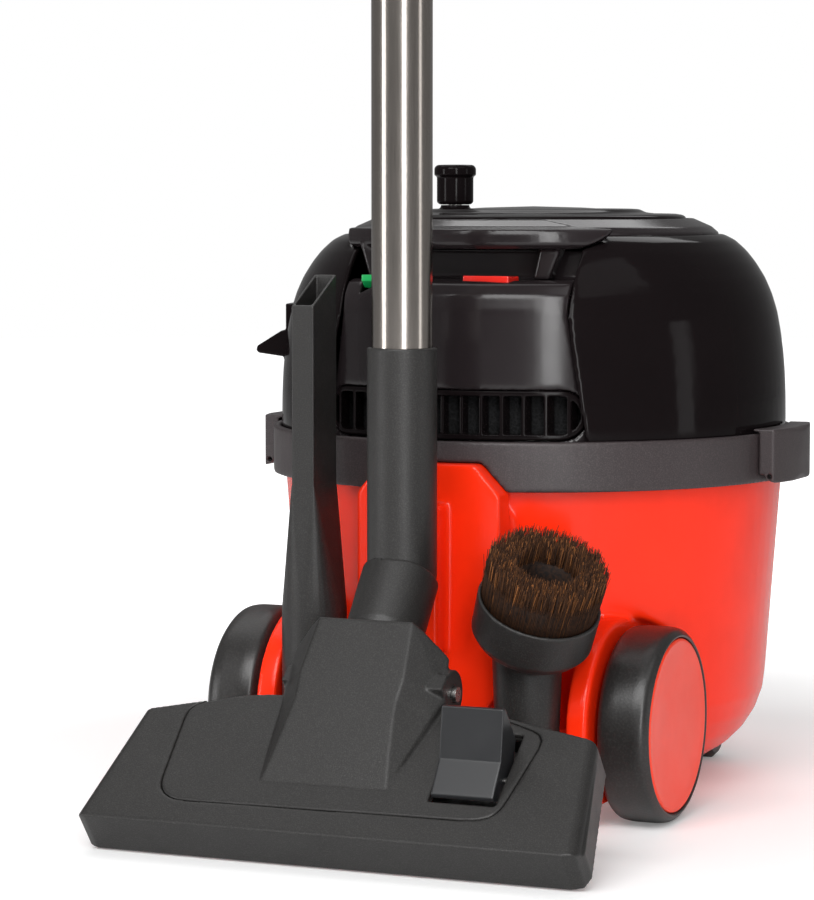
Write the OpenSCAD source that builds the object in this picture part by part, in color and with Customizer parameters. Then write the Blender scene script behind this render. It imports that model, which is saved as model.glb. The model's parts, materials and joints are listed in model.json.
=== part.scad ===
// Drum vacuum cleaner with its wand, floor tool, crevice tool and dusting brush parked at the back.
// +Z is up, the tool side faces -Y and the hose inlet faces +Y.
// The origin is on the floor, at the middle of the footprint.

/* [Drum] */
// Outer radius of the drum at its top edge
drum_r = 149; // [147:0.5:149]
// Wall thickness of the drum and the head cover
wall = 3; // [2.5:0.5:3.5]
// Height of the drum's top edge above the floor
drum_top = 190; // [189:1:190]
// Outer radius of the rim band
rim_r = 156; // [155:0.5:157]

/* [Rear wheels] */
// Radius of a rear wheel
wheel_r = 54.8; // [53:0.2:55]
// Width of a rear wheel
wheel_w = 31.5; // [28:0.5:32]
// Distance from the centre plane to the outer face of a rear wheel
wheel_out = 134; // [133:0.5:135]
// Distance of the rear axles behind the drum's own axis
wheel_back = 120; // [118:0.5:121]

/* [Casters] */
// Radius of a caster wheel
caster_r = 17; // [15:0.5:17]
// Distance of a caster's swivel from the centre plane
caster_x = 78; // [74:1:80]
// Distance of a caster's swivel in front of the drum's own axis
caster_front = 104; // [100:1:105]

/* [Head] */
// Radius of the cable winder's disc
disc_r = 91; // [88:0.5:91]
// Height of the disc's top face
disc_top = 342; // [341:0.5:343]
// Radius of the winder knob's body
knob_r = 11.2; // [10.6:0.2:11.4]

/* [Wand] */
// Outer radius of the steel tube
tube_r = 16.7; // [16.7:0.1:16.8]
// Height of the tube's open top end
tube_top = 700; // [650:5:720]
// Distance of the wand's axis behind the drum's own axis
wand_back = 198; // [198:0.5:200]
// Outer radius of the sleeve
sleeve_r = 19.2; // [19:0.1:19.2]

/* [Floor tool] */
// Reach of the floor tool's front edge to the left of the neck
tool_left = 133.5; // [132:0.5:134]
// Reach of the floor tool's front edge to the right of the neck
tool_right = 151.5; // [150:0.5:152]
// Height of the floor tool's front edge
tool_h = 26.5; // [25:0.5:28]
// Slope of the parked floor tool, front edge down
tool_slope = 37.5; // [37:0.5:38]
// Height of the pedal above the cover at its raised end
pedal_h = 28; // [24:1:30]

/* [Hidden] */
$fn = 64;
eps = 0.01;
// gap of a fit that turns or slides, and gap between parts that only lie side by side
run = 0.05;
gap = 0.3;

// colours
red = [0.90, 0.13, 0.06];
cap_red = [0.93, 0.25, 0.15];
rim_grey = [0.20, 0.19, 0.19];
gloss_black = [0.07, 0.06, 0.06];
panel_grey = [0.26, 0.25, 0.25];
charcoal = [0.22, 0.22, 0.21];
tyre_black = [0.12, 0.12, 0.12];
steel = [0.72, 0.70, 0.67];
copper = [0.72, 0.42, 0.22];

// drum profile: a round edge of this radius about this centre joins the floor to the side
edge_r = 56;
edge_x = 84;
edge_z = 68;
floor_z = edge_z - edge_r;
// how far the drum's side leans out over its height
side_lean = drum_r - edge_x - edge_r;

// outer radius of the top ring, let into the dome's top
ring_r = 111;

// dome profile, as radius and height from the skirt to the top opening
skirt_z = 199;
dome = [[150.4, skirt_z], [151, 216], [150.8, 230], [150.2, 244], [149.2, 256], [147.6, 268], [145.4, 280],
        [142, 291], [137.8, 300.4], [132.4, 309], [127, 315.8], [120, 322.2], [ring_r, 326.6],
        [ring_r - 1, 323.2], [104, 327], [94, 331.5]];

// rear face of the head: half widths of the recess at its foot and head, and its heights
recess_low = 84;
recess_high = 69;
shelf_z = 301;
panel_r = 143;
vent_z = 226;
vent_half = 79;
vent_r = 14;
slat_pitch = 11.7;
slats = 13;

// rocker switches in the shelf: where they stand along X, and their pins' line
switch_at = [-42, 20.6];
switch_y = -119.7;
switch_z = 299;

// carry handle: a ring round the disc, and a bar that bridges the recess
bar_left = 79;
bar_right = 84;
bar_low = 318;
bar_r = 124;
bar_back = 88;

// motor, fan and reel, from the base plate upwards
base_z = 192;
base_t = 6;
shaft_r = 5;
fan_r = 60;
casing_z = 200;
can_z = 240;
can_top = 286;
reel_z = 298;
bridge_z = 293.5;
post_at = 76;
reel_r = 86;
spindle_r = 8;
board_y = 108;
knob_at = [-63.5, 30];
knob_z = 342.8;

// hose inlet and cable outlet
inlet_r = 19;
inlet_z = 115;
inlet_out = 158;
outlet_turn = 195;

// radius of the space that the head drops into
rim_in = 151.4;

// latches
latch_half = 36;
latch_in = 156.6;
latch_out = 168;
latch_bow = 105;
latch_low = 184;
latch_top = 215;
latch_pin = [158.8, 187.6];
lug_y = 20;
lug_r = 2.6;

// docking tongue on the drum and the pylon that carries it
pylon_half = 43;
pylon_top = 200;
shoulder_z = 183;
shoulder_half = 28;
pylon_y = -163;
tongue_half = 12;
tongue_y = -178;
tongue_top = 178;
key_half = 4.2;

// inner face of a wheel housing
housing_x = 88;

// how far a caster's wheel trails its swivel
caster_trail = 11;

// tool pegs on the drum
peg_r = 15.6;
peg_z = 46;
peg_len = 28;
crevice_at = [-68, -166];
brush_at = [66, -178];

// dusting brush
brush_tilt = 30;
brush_turn = -46;
brush_neck_z = 100;
brush_r = 33.5;
bristle_z = 60;

// floor tool, in its own frame: x across, y back from the front edge, z up from the sole
tool_y = -313;
tool_z = 0.3;
pivot = [107, 24];
hump_rise = 30;
ear_left = 44;
ear_right = 49.5;
panel_line = [[-82, 16], [92, 18], [102, 24], [111, 80], [70, 94.5], [52, 97], [-52, 97],
              [-70, 94.5], [-98.5, 85], [-92.5, 24]];
pedal_x = 62.5;
pedal_w = 34.5;
roller_at = [76, 6];
strip_from = -118;
strip_len = 250;

// wand and neck: the bend is where the upright tube meets the line up from the pivot
pivot_y = tool_y + pivot[0] * cos(tool_slope) - pivot[1] * sin(tool_slope);
pivot_z = tool_z + pivot[0] * sin(tool_slope) + pivot[1] * cos(tool_slope);
neck_lean = 37.5;
bend_z = pivot_z + (-wand_back - pivot_y) / tan(neck_lean);
neck_len = (-wand_back - pivot_y) / sin(neck_lean);

// the whole is shifted along Y so that the middle of the footprint is the origin
nose_y = tool_y - tool_h * sin(tool_slope);
shift_y = -(nose_y + inlet_out) / 2;

// ---------- helpers ----------

// outline with each corner between two straight runs turned into a short curve
function soften(points, reach, steps = 3) = let (n = len(points)) [for (i = [0:n - 1])
  let (p = points[i], a = points[(i + n - 1) % n] - p, b = points[(i + 1) % n] - p,
       start = a * min(reach / norm(a), 0.45), end = b * min(reach / norm(b), 0.45))
  for (k = [0:steps]) let (t = k / steps) p + start * (1 - t) * (1 - t) + end * t * t];

module place() {
  translate([0, shift_y, 0]) children();
}

// turns a child's Z axis to +X
module along_x() {
  rotate([0, 90, 0]) children();
}

// turns a child's Z axis to +Y
module along_y() {
  rotate([-90, 0, 0]) children();
}

module tool_place() {
  place() translate([0, tool_y, tool_z]) rotate([tool_slope, 0, 0]) children();
}

// Z runs down the neck from the bend
module neck_place() {
  place() translate([0, -wand_back, bend_z]) rotate([180 - neck_lean, 0, 0]) children();
}

module brush_place() {
  place() translate([brush_at[0], brush_at[1], brush_neck_z])
    rotate([0, 0, brush_turn]) rotate([0, brush_tilt, 0]) children();
}

module ring(r_out, r_in, h) {
  difference() {
    cylinder(r = r_out, h = h);
    translate([0, 0, -eps]) cylinder(r = r_in, h = h + 2 * eps);
  }
}

// a bar of profile [y, z] points, running from x0 to x1
module x_bar(x0, x1, points) {
  translate([x0, 0, 0]) rotate([90, 0, 90]) linear_extrude(x1 - x0) polygon(points);
}

// upright plate across X, with round ends, standing from y0 to y1
module stadium(half, r, z, y0, y1) {
  translate([0, y1, z]) rotate([90, 0, 0]) linear_extrude(y1 - y0) union() {
    square([2 * (half - r), 2 * r], center = true);
    for (s = [-1, 1]) translate([s * (half - r), 0]) circle(r = r);
  }
}

// upright plate across X, with rounded corners, from z0 to z1 and from y0 to y1
module round_plate(half, z0, z1, r, y0, y1) {
  translate([0, y1, 0]) rotate([90, 0, 0]) linear_extrude(y1 - y0) union() {
    translate([-half, z0 + r]) square([2 * half, z1 - z0 - 2 * r]);
    translate([r - half, z0]) square([2 * (half - r), z1 - z0]);
    for (s = [-1, 1]) for (z = [z0 + r, z1 - r]) translate([s * (half - r), z]) circle(r = r);
  }
}

function arc(cx, cz, r, a0, a1, n) =
  [for (i = [0:n]) [cx + r * cos(a0 + (a1 - a0) * i / n), cz + r * sin(a0 + (a1 - a0) * i / n)]];

// ---------- drum ----------

// the drum's solid, drawn in by t all round and up to the height top
module drum_solid(t, top) {
  rotate_extrude() polygon(concat([[0, floor_z + t]],
    arc(edge_x, edge_z, edge_r - t, -90, 0, 7),
    [[edge_x + edge_r - t + side_lean * (top - edge_z) / (drum_top - edge_z), top], [0, top]]));
}

// wheel housing on one side: a round box about the axle, cut off flat underneath
module wheel_housing(side, t) {
  intersection() {
    translate([side > 0 ? housing_x + t : t - 100, -wheel_back, wheel_r]) along_x()
      cylinder(r = 58 - t, h = 100 - housing_x - 2 * t);
    translate([-150, -200, floor_z + t]) cube([300, 160, 120]);
  }
}

// clearance around a wheel, grown by t
module wheel_arch(side, t) {
  translate([side > 0 ? 100 - t : -170, -wheel_back, wheel_r]) along_x()
    cylinder(r = 60 + t, h = 70 + t);
}

module caster_pocket(side, t) {
  translate([side * caster_x, caster_front, -1]) cylinder(r = 33 + t, h = 43 + t);
}

// upright plate behind the tongue, with shoulders that slant in to its top, grown by g
module pylon(g, y0, y1) {
  translate([0, y1, 0]) rotate([90, 0, 0]) linear_extrude(y1 - y0)
    polygon([[10 - pylon_half, 60], [pylon_half - 10, 60], [pylon_half + g, 72],
             [pylon_half + g, shoulder_z], [shoulder_half + g, pylon_top + g],
             [-shoulder_half - g, pylon_top + g], [-pylon_half - g, shoulder_z], [-pylon_half - g, 72]]);
}

module drum_shell() {
  color(red) place() difference() {
    union() {
      drum_solid(0, drum_top);
      for (s = [-1, 1]) wheel_housing(s, 0);
      pylon(0, pylon_y, -146);
      round_plate(pylon_half, 60, 180, 16, -150, -120);
      translate([-tongue_half, tongue_y, 95]) cube([2 * tongue_half, 20, tongue_top - 95]);
      for (p = [crevice_at, brush_at]) {
        translate([p[0] - 19, p[1] - 19, 34]) cube([38, -p[1] - 86, peg_z - 34]);
        translate([p[0], p[1], peg_z - eps]) cylinder(r = peg_r, h = peg_len);
      }
      translate([0, 120, inlet_z]) along_y() cylinder(r = 30, h = 34);
    }
    difference() {
      union() {
        drum_solid(wall, drum_top + 1);
        for (s = [-1, 1]) wheel_housing(s, wall);
        round_plate(pylon_half - wall, 64, 176, 13, pylon_y + wall, -120);
      }
      for (s = [-1, 1]) {
        wheel_arch(s, wall);
        caster_pocket(s, wall);
        translate([s > 0 ? housing_x : -100, -wheel_back, wheel_r]) along_x() cylinder(r = 10, h = 12);
        translate([s * caster_x, caster_front, 40]) cylinder(r = 9, h = 22);
      }
      translate([0, 118, inlet_z]) along_y() cylinder(r = 30, h = 40);
    }
    for (s = [-1, 1]) {
      wheel_arch(s, 0);
      caster_pocket(s, 0);
      translate([s > 0 ? 90 : -101, -wheel_back, wheel_r]) along_x() cylinder(r = 4, h = 11);
      translate([s * caster_x, caster_front, 40]) cylinder(r = 4 + run, h = 19);
    }
    translate([0, 100, inlet_z]) along_y() cylinder(r = 23, h = 60);
    translate([-key_half - 0.4, -173.2, 134]) cube([2 * key_half + 0.8, 8.2, 50]);
    translate([-2.1, tongue_y - 1, 134]) cube([4.2, 6, 50]);
    translate([0, 0, drum_top]) cylinder(r = rim_in, h = 20);
  }
}

module rim_ring() {
  color(rim_grey) place() difference() {
    union() {
      translate([0, 0, 184]) cylinder(r = rim_r, h = 28);
      for (s = [-1, 1]) for (y = [-lug_y - 2.5, lug_y - 2.5]) {
        translate([s > 0 ? 150 : -latch_pin[0], y, latch_pin[1] - lug_r])
          cube([latch_pin[0] - 150, 5, 2 * lug_r]);
        translate([s * latch_pin[0], y, latch_pin[1]]) along_y() cylinder(r = lug_r, h = 5);
      }
    }
    drum_solid(0, drum_top);
    translate([0, 0, drum_top - eps]) cylinder(r = rim_in, h = 30);
    pylon(gap, -170, -140);
    for (s = [-1, 1]) translate([s * latch_pin[0], -40, latch_pin[1]]) along_y()
      cylinder(r = 1.4, h = 80);
  }
}

module inlet_ring() {
  color(rim_grey) place() translate([0, 0, inlet_z]) difference() {
    union() {
      translate([0, 118, 0]) along_y() cylinder(r = 23, h = 36);
      translate([0, 154, 0]) along_y() cylinder(r = 34, h = inlet_out - 154);
    }
    translate([0, 110, 0]) along_y() cylinder(r = inlet_r, h = 60);
  }
}

// the bag is a round sack with a flat collar that faces the inlet
module dust_bag() {
  color([0.86, 0.83, 0.76]) place() union() {
    rotate_extrude() polygon(concat([[0, 22]], arc(62, 52, 30, -90, 0, 5), arc(62, 86, 30, 0, 90, 5),
      [[0, 116]]));
    translate([0, 60, 104]) cube([60, 60, 48], center = true);
    translate([0, 84, inlet_z]) along_y() ring(28, 18, 33);
  }
}

module filter_cloth() {
  color([0.75, 0.75, 0.73]) place() rotate_extrude()
    polygon([[0, 148], [70, 148], [84, 153], [118, 184], [118, 187], [114, 187], [81, 156], [69, 151],
             [0, 151]]);
}

module filter_ring() {
  color(rim_grey) place() translate([0, 0, 187]) ring(136, 100, 3);
}

module head_gasket() {
  color(tyre_black) place() translate([0, 0, drum_top]) ring(drum_r - 0.2, 136.5, base_z - drum_top);
}

// ---------- rear wheels ----------

module wheel_axles() {
  color(steel) place() for (s = [-1, 1])
    translate([s > 0 ? 90 : -129, -wheel_back, wheel_r]) along_x() cylinder(r = 4, h = 39);
}

// a wheel with a wide hollow in its outer face for the cap, drawn with its outer face at z = 0
module wheel() {
  difference() {
    rotate_extrude() polygon(concat([[0, -wheel_w]], arc(wheel_r - 6, -wheel_w + 6, 6, -90, 0, 4),
      arc(wheel_r - 5, -5, 5, 0, 90, 4), [[0, 0]]));
    translate([0, 0, -4]) cylinder(r = wheel_r * 0.895, h = 5);
    translate([0, 0, -12]) ring(wheel_r - 10, 14, 20);
    translate([0, 0, -wheel_w - 1]) cylinder(r = 4 + run, h = wheel_w - 3.5);
  }
}

module wheel_left() {
  color(tyre_black) place() translate([-wheel_out, -wheel_back, wheel_r]) rotate([0, -90, 0]) wheel();
}

module wheel_right() {
  color(tyre_black) place() translate([wheel_out, -wheel_back, wheel_r]) rotate([0, 90, 0]) wheel();
}

// a shallow dished cap that fills the wheel's hollow
module hubcap() {
  rotate_extrude() polygon([[0, -3.8], [48.7, -3.8], [48.7, -1.2], [47, 0], [40, -0.6], [10, -1.6], [0, -1.6]]);
}

module hubcap_left() {
  color(cap_red) place() translate([-wheel_out, -wheel_back, wheel_r]) rotate([0, -90, 0]) hubcap();
}

module hubcap_right() {
  color(cap_red) place() translate([wheel_out, -wheel_back, wheel_r]) rotate([0, 90, 0]) hubcap();
}

// ---------- casters ----------

module caster_fork(side) {
  color(charcoal) place() translate([side * caster_x, caster_front, 0]) difference() {
    union() {
      translate([0, 0, 36.5]) cylinder(r = 14, h = 5);
      for (s = [-1, 1]) {
        translate([s > 0 ? 9.6 : -12.6, -caster_trail, caster_r]) along_x() cylinder(r = 7, h = 3);
        translate([s > 0 ? 9.6 : -12.6, -caster_trail - 7, caster_r]) cube([3, 15, 21]);
      }
      translate([-12.6, -9, 36.5]) cube([25.2, 10, 3]);
    }
    translate([-14, -caster_trail, caster_r]) along_x() cylinder(r = 3, h = 28);
    translate([0, 0, 35]) cylinder(r = 4, h = 10);
  }
}

module caster_wheel(side) {
  color(tyre_black) place() translate([side * caster_x - 9, caster_front - caster_trail, caster_r])
    along_x() difference() {
      rotate_extrude() polygon([[0, 0], [14, 0], [caster_r, 3], [caster_r, 15], [14, 18], [0, 18]]);
      translate([0, 0, -1]) cylinder(r = 3 + run, h = 20);
    }
}

module caster_pins(side) {
  color(steel) place() translate([side * caster_x, caster_front, 0]) {
    translate([0, 0, 36.5]) cylinder(r = 4, h = 21);
    translate([-12.6, -caster_trail, caster_r]) along_x() cylinder(r = 3, h = 25.2);
  }
}

module caster_fork_left() { caster_fork(-1); }
module caster_fork_right() { caster_fork(1); }
module caster_wheel_left() { caster_wheel(-1); }
module caster_wheel_right() { caster_wheel(1); }
module caster_pins_left() { caster_pins(-1); }
module caster_pins_right() { caster_pins(1); }

// ---------- latches ----------

// a bowed plate that follows the rim inside and bulges outside, with pockets for the rim's lugs
module latch(side) {
  color(rim_grey) place() mirror([side > 0 ? 0 : 1, 0, 0]) difference() {
    intersection() {
      translate([0, latch_half, 0]) rotate([90, 0, 0]) linear_extrude(2 * latch_half)
        polygon([[148, latch_pin[1] + 1], [155.6, latch_pin[1] + 1], [latch_pin[0] - 2.4, latch_pin[1]],
                 [latch_pin[0] - 1.4, latch_pin[1] - 1.9], [latch_pin[0] + 1.2, latch_pin[1] - 2.9],
                 [latch_pin[0] + 4, latch_low], [latch_out - 1, latch_low], [latch_out, latch_low + 3],
                 [latch_out, latch_top - 2], [latch_out - 2, latch_top], [148, latch_top]]);
      translate([latch_out - latch_bow, 0, 150]) cylinder(r = latch_bow, h = 100);
    }
    translate([0, 0, 150]) cylinder(r = latch_in, h = 213.4 - 150);
    translate([0, 0, 200]) cylinder(r = 153.4, h = 40);
    translate([latch_pin[0], -40, latch_pin[1]]) along_y() cylinder(r = 1.4 + run, h = 80);
    for (y = [-lug_y, lug_y]) {
      translate([latch_pin[0], y - 3, latch_pin[1]]) along_y() cylinder(r = lug_r + gap, h = 6);
      translate([140, y - 3, latch_low - 1]) cube([latch_pin[0] - 140 + lug_r + gap, 6, 4.6]);
      translate([140, y - 3, latch_low - 1]) cube([latch_pin[0] - 140, 6, 4.6 + lug_r + gap]);
    }
  }
}

module latch_left() { latch(-1); }
module latch_right() { latch(1); }

module latch_pins() {
  color(steel) place() for (s = [-1, 1])
    translate([s * latch_pin[0], -lug_y - 8, latch_pin[1]]) along_y()
      cylinder(r = 1.4, h = 2 * lug_y + 16);
}

// ---------- head ----------

module head_base() {
  color(charcoal) place() difference() {
    union() {
      translate([0, 0, base_z]) cylinder(r = 149.4, h = base_t);
      translate([0, 0, base_z + base_t - eps]) ring(146.5, 144, 8);
      translate([0, 0, base_z + base_t - eps]) ring(66, 62, casing_z - base_z - base_t);
    }
    translate([0, 0, base_z - 1]) cylinder(r = 40, h = 10);
    for (a = [45:90:315]) rotate([0, 0, a]) translate([post_at, 0, base_z - 1]) cylinder(r = 1.8, h = 10);
  }
}

// the dome's solid, drawn in by t
module dome_solid(t) {
  rotate_extrude() polygon(concat([[0, skirt_z - (t > 0 ? 1 : 0)]],
    [for (p = dome) [p[0] - t, p[1] - (p[1] > 300 ? t : 0) - (p[1] == skirt_z && t > 0 ? 1 : 0)]],
    [[0, 331.5 - t]]));
}

// recess at the back for the panel, the hand gap and the handle, grown by g
// outline of the handle's bar seen from the rear, grown by g
module bar_outline(g) {
  polygon(soften([[-bar_left - g, 350], [-bar_left - g, bar_low - g], [recess_high + g, bar_low - g],
                  [bar_right + g, 327 - g], [bar_right + g, 350]], 7));
}
module rear_recess(g) {
  translate([0, -100, 0]) rotate([90, 0, 0]) linear_extrude(80)
    polygon([[-recess_low - g, 190], [recess_low + g, 190], [recess_high + g, shelf_z - 20],
             [recess_high + g, bar_low], [-recess_high - g, bar_low], [-recess_high - g, shelf_z - 20]]);
  translate([-recess_high - g, -101, shelf_z - 4]) cube([2 * (recess_high + g), 101 - bar_back, 30]);
  translate([0, -bar_back, 0]) rotate([90, 0, 0]) linear_extrude(92) bar_outline(g);
}

module head_cover() {
  color(gloss_black) place() difference() {
    dome_solid(0);
    dome_solid(wall);
    translate([0, 0, 320]) cylinder(r = disc_r + 1, h = 30);
    rear_recess(0);
    rotate([0, 0, outlet_turn]) translate([130, -11.3, 249.3]) cube([30, 22.6, 34.4]);
  }
}

// the panel is a curved wall with a shelf under the hand gap and a low wall behind it
module rear_panel() {
  color(panel_grey) place() difference() {
    union() {
      intersection() {
        rotate_extrude() polygon([[panel_r - wall, skirt_z + 8], [panel_r, skirt_z + 8],
          [panel_r, 284], [141, 293], [137, 299], [132, shelf_z], [88, shelf_z],
          [88, shelf_z - wall], [130, shelf_z - wall], [134, 296], [137.6, 291], [panel_r - wall, 283]]);
        rear_recess(-gap);
      }
      translate([-recess_high + gap, -bar_back - wall - 0.5, shelf_z - 1])
        cube([2 * (recess_high - gap), wall, bar_low - shelf_z + 0.5]);
    }
    stadium(vent_half, vent_r, vent_z, -160, -105);
    for (x = switch_at) {
      translate([x - 14.3, switch_y - 9.3, 290]) cube([28.6, 18.6, 20]);
      translate([x - 15.6, switch_y, switch_z]) along_x() cylinder(r = 1.2 + run, h = 31.2);
    }
  }
}

module exhaust_grille() {
  color(gloss_black) place() intersection() {
    translate([0, 0, 200]) ring(panel_r + 1.2, panel_r - 9, 60);
    union() {
      difference() {
        stadium(vent_half - gap, vent_r - gap, vent_z, -160, -104);
        stadium(vent_half - 3.2, vent_r - 3.2, vent_z, -161, -109);
      }
      intersection() {
        stadium(vent_half - 1, vent_r - 1, vent_z, -160, -104);
        for (i = [0:slats - 1])
          translate([(i - (slats - 1) / 2) * slat_pitch - 1, -142, vent_z - vent_r]) cube([2, 40, 2 * vent_r]);
      }
    }
  }
}

module exhaust_filter() {
  color([0.35, 0.35, 0.36]) place() intersection() {
    translate([0, 0, 212]) ring(133, 121, 28);
    translate([-72, -140, 200]) cube([144, 60, 60]);
  }
}

module carry_handle() {
  color(panel_grey) place() {
    rotate_extrude() polygon([[94.2, 331.8], [104, 327.3], [ring_r - 1.2, 323.8], [ring_r - 0.6, 326.4],
      [106, 330.2], [101, 332.4], [94.2, 335.4]]);
    intersection() {
      rotate_extrude() polygon([[97, 334.6], [106, 331], [bar_r - 1, 329.6], [bar_r, 326], [bar_r, 321],
        [121, bar_low], [104, bar_low], [97, 326]]);
      translate([0, -bar_back - gap, 0]) rotate([90, 0, 0]) linear_extrude(60) bar_outline(-gap);
    }
    // braces under the bar's two ends, standing on the shelf
    translate([0, -96, 0]) rotate([90, 0, 0]) linear_extrude(10) {
      polygon([[45.5, bar_low + 4], [40.5, shelf_z + 0.2], [50, shelf_z + 0.2], [58.5, bar_low + 4]]);
      polygon([[-67, bar_low + 4], [-61, shelf_z + 0.2], [-52, shelf_z + 0.2], [-56, bar_low + 4]]);
    }
  }
}

// a face plate with a hood that looks down over the mouth where the cable comes out
module cable_outlet() {
  color(gloss_black) place() rotate([0, 0, outlet_turn]) difference() {
    union() {
      translate([140, -11, 249.6]) cube([8.3, 22, 33.8]);
      translate([147.6, -11, 262]) cube([1.6, 22, 21.4]);
      translate([0, 11, 0]) rotate([90, 0, 0]) linear_extrude(22)
        polygon([[148.2, 250], [150.6, 249.6], [150.6, 251.4], [166, 253.6], [167.4, 255.4], [166.6, 258],
                 [152, 267], [148.2, 268]]);
    }
    translate([0, 7, 0]) rotate([90, 0, 0]) linear_extrude(14)
      polygon([[151.4, 240], [160, 240], [160, 258], [151.4, 263.4]]);
    translate([130, 0, 257.6]) along_x() cylinder(r = 5, h = 25);
  }
}

module fan_casing() {
  color(steel) place() difference() {
    translate([0, 0, casing_z]) cylinder(r = 68, h = can_z - casing_z);
    translate([0, 0, casing_z + 2]) cylinder(r = 66, h = can_z - casing_z - 4);
    translate([0, 0, casing_z - 1]) cylinder(r = 22, h = 5);
    translate([0, 0, can_z - 5]) cylinder(r = 9, h = 8);
    for (a = [0:45:315]) rotate([0, 0, a]) translate([60, 0, 220]) along_x() cylinder(r = 7, h = 12);
  }
}

module motor_can() {
  color(steel) place() difference() {
    translate([0, 0, can_z]) cylinder(r = 50, h = can_top - can_z);
    translate([0, 0, can_z - 1]) cylinder(r = 47, h = can_top - can_z - 2);
    translate([0, 0, can_z]) cylinder(r = 9, h = 60);
    for (a = [30:60:330]) rotate([0, 0, a]) translate([34, 0, can_top - 8]) cylinder(r = 6, h = 12);
  }
}

module stator() {
  color(copper) place() translate([0, 0, can_z + 4]) difference() {
    cylinder(r = 46.9, h = 30);
    translate([0, 0, -1]) cylinder(r = 30, h = 32);
    for (s = [-1, 1]) translate([s * 44, 0, 15]) cube([16, 36, 40], center = true);
  }
}

module carbon_brushes() {
  color(rim_grey) place() for (s = [-1, 1])
    translate([s > 0 ? 13.4 : -30, -3.5, can_top - 11.7]) cube([16.6, 7, 7]);
}

module ball_bearings() {
  color(steel) place() for (z = [can_z - 3, can_top - 3.4]) translate([0, 0, z]) ring(9, shaft_r + run, 6);
}

module control_board() {
  color([0.10, 0.36, 0.18]) place() {
    translate([-30, board_y, 205]) cube([60, 1.6, 45]);
    for (x = [-20, 0, 18]) translate([x, board_y - 12, 212 + abs(x) / 2]) cube([9, 12, 16]);
  }
}

// bridge over the motor that carries the reel's spindle
module reel_bracket() {
  color(charcoal) place() difference() {
    union() {
      translate([0, 0, bridge_z]) cylinder(r = 84, h = 4);
      translate([0, 0, bridge_z + 4 - eps]) cylinder(r = spindle_r, h = 36);
      for (a = [45:90:315]) rotate([0, 0, a]) translate([post_at, 0, base_z + base_t])
        cylinder(r = 5, h = bridge_z - base_z - base_t + eps);
    }
    for (a = [0:60:300]) rotate([0, 0, a]) translate([50, 0, bridge_z - 1]) cylinder(r = 12, h = 6);
    for (a = [45:90:315]) rotate([0, 0, a]) translate([post_at, 0, base_z]) cylinder(r = 1.8, h = 16);
  }
}

// screws up through the base plate into the bridge's posts
module head_screws() {
  color(steel) place() for (a = [45:90:315]) rotate([0, 0, a]) translate([post_at, 0, base_z]) {
    cylinder(r = 1.8, h = 15);
    translate([0, 0, -2]) cylinder(r = 3.4, h = 2);
  }
}

// ---------- motor rotor ----------

module motor_shaft() {
  color(steel) place() translate([0, 0, 204]) cylinder(r = shaft_r, h = 81);
}

module impeller(z) {
  color(steel) place() translate([0, 0, z]) difference() {
    union() {
      cylinder(r = fan_r, h = 1.5);
      translate([0, 0, 9.5]) ring(fan_r, 20, 1.5);
      cylinder(r = 10, h = 11);
      for (a = [0:40:320]) rotate([0, 0, a]) translate([16, 6, 1]) rotate([0, 0, 28]) cube([42, 1.4, 9]);
    }
    translate([0, 0, -1]) cylinder(r = shaft_r, h = 20);
  }
}

module lower_impeller() { impeller(206); }
module upper_impeller() { impeller(222); }

module armature() {
  color(copper) place() difference() {
    union() {
      translate([0, 0, can_z + 6]) cylinder(r = 28, h = 26);
      translate([0, 0, can_z + 32 - eps]) cylinder(r = 13, h = 10);
    }
    translate([0, 0, can_z]) cylinder(r = shaft_r, h = 60);
  }
}

// ---------- cable winder ----------

module winder_disc() {
  color(gloss_black) place() difference() {
    union() {
      rotate_extrude() polygon([[0, 334.6], [60, 333.6], [disc_r, 331.8], [disc_r, 335.4],
        [disc_r - 2, 336.9], [disc_r - 7, 337.6], [disc_r - 10, 336.9], [67, 338.4], [63, 340.2],
        [58, 340.6], [55, 339.6], [30, 341.2], [0, disc_top]]);
      translate([0, 0, 327.8]) ring(20, spindle_r + 1, 9);
      translate([knob_at[0], knob_at[1], 0]) rotate_extrude() polygon([[0, 335], [11.4, 335],
        [11.2, 339], [8.8, 341.4], [8.8, knob_z - gap], [0, knob_z - gap]]);
    }
    translate([knob_at[0], knob_at[1], 330]) cylinder(r = 4, h = 30);
  }
}

module cable_reel() {
  color(charcoal) place() translate([0, 0, reel_z]) difference() {
    union() {
      cylinder(r = reel_r, h = 2.5);
      cylinder(r = 32, h = 29.8);
      translate([0, 0, 27.3]) cylinder(r = reel_r, h = 2.5);
    }
    translate([0, 0, -1]) cylinder(r = spindle_r + run, h = 40);
    for (z = [-1, 16.5]) translate([0, 0, z]) ring(29, 13, 14.5);
  }
}

module knob_pin() {
  color(steel) place() translate([knob_at[0], knob_at[1], 333.6]) cylinder(r = 4, h = 29.4);
}

module crank_knob() {
  color(gloss_black) place() translate([knob_at[0], knob_at[1], knob_z]) difference() {
    rotate_extrude() polygon([[0, 0], [knob_r - 1, 0], [knob_r, 1], [knob_r, 16.2], [knob_r + 1.6, 18],
      [knob_r + 1.6, 22.2], [knob_r + 0.2, 24], [knob_r - 3, 24.4], [0, 24.4]]);
    translate([0, 0, -1]) cylinder(r = 4 + run, h = 21.6);
  }
}

// ---------- switches ----------

// a rocker lying in the shelf, turning on two stub pins under its middle
module rocker(x) {
  place() translate([x, switch_y, switch_z]) union() {
    x_bar(-13.8, 13.8, [[-8.4, 1], [-8, 4.6], [0, 3.4], [8, 4.2], [8.4, 1], [4, -3], [-4, -3]]);
    translate([-15, 0, 0]) along_x() cylinder(r = 1.2, h = 30);
  }
}

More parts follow.
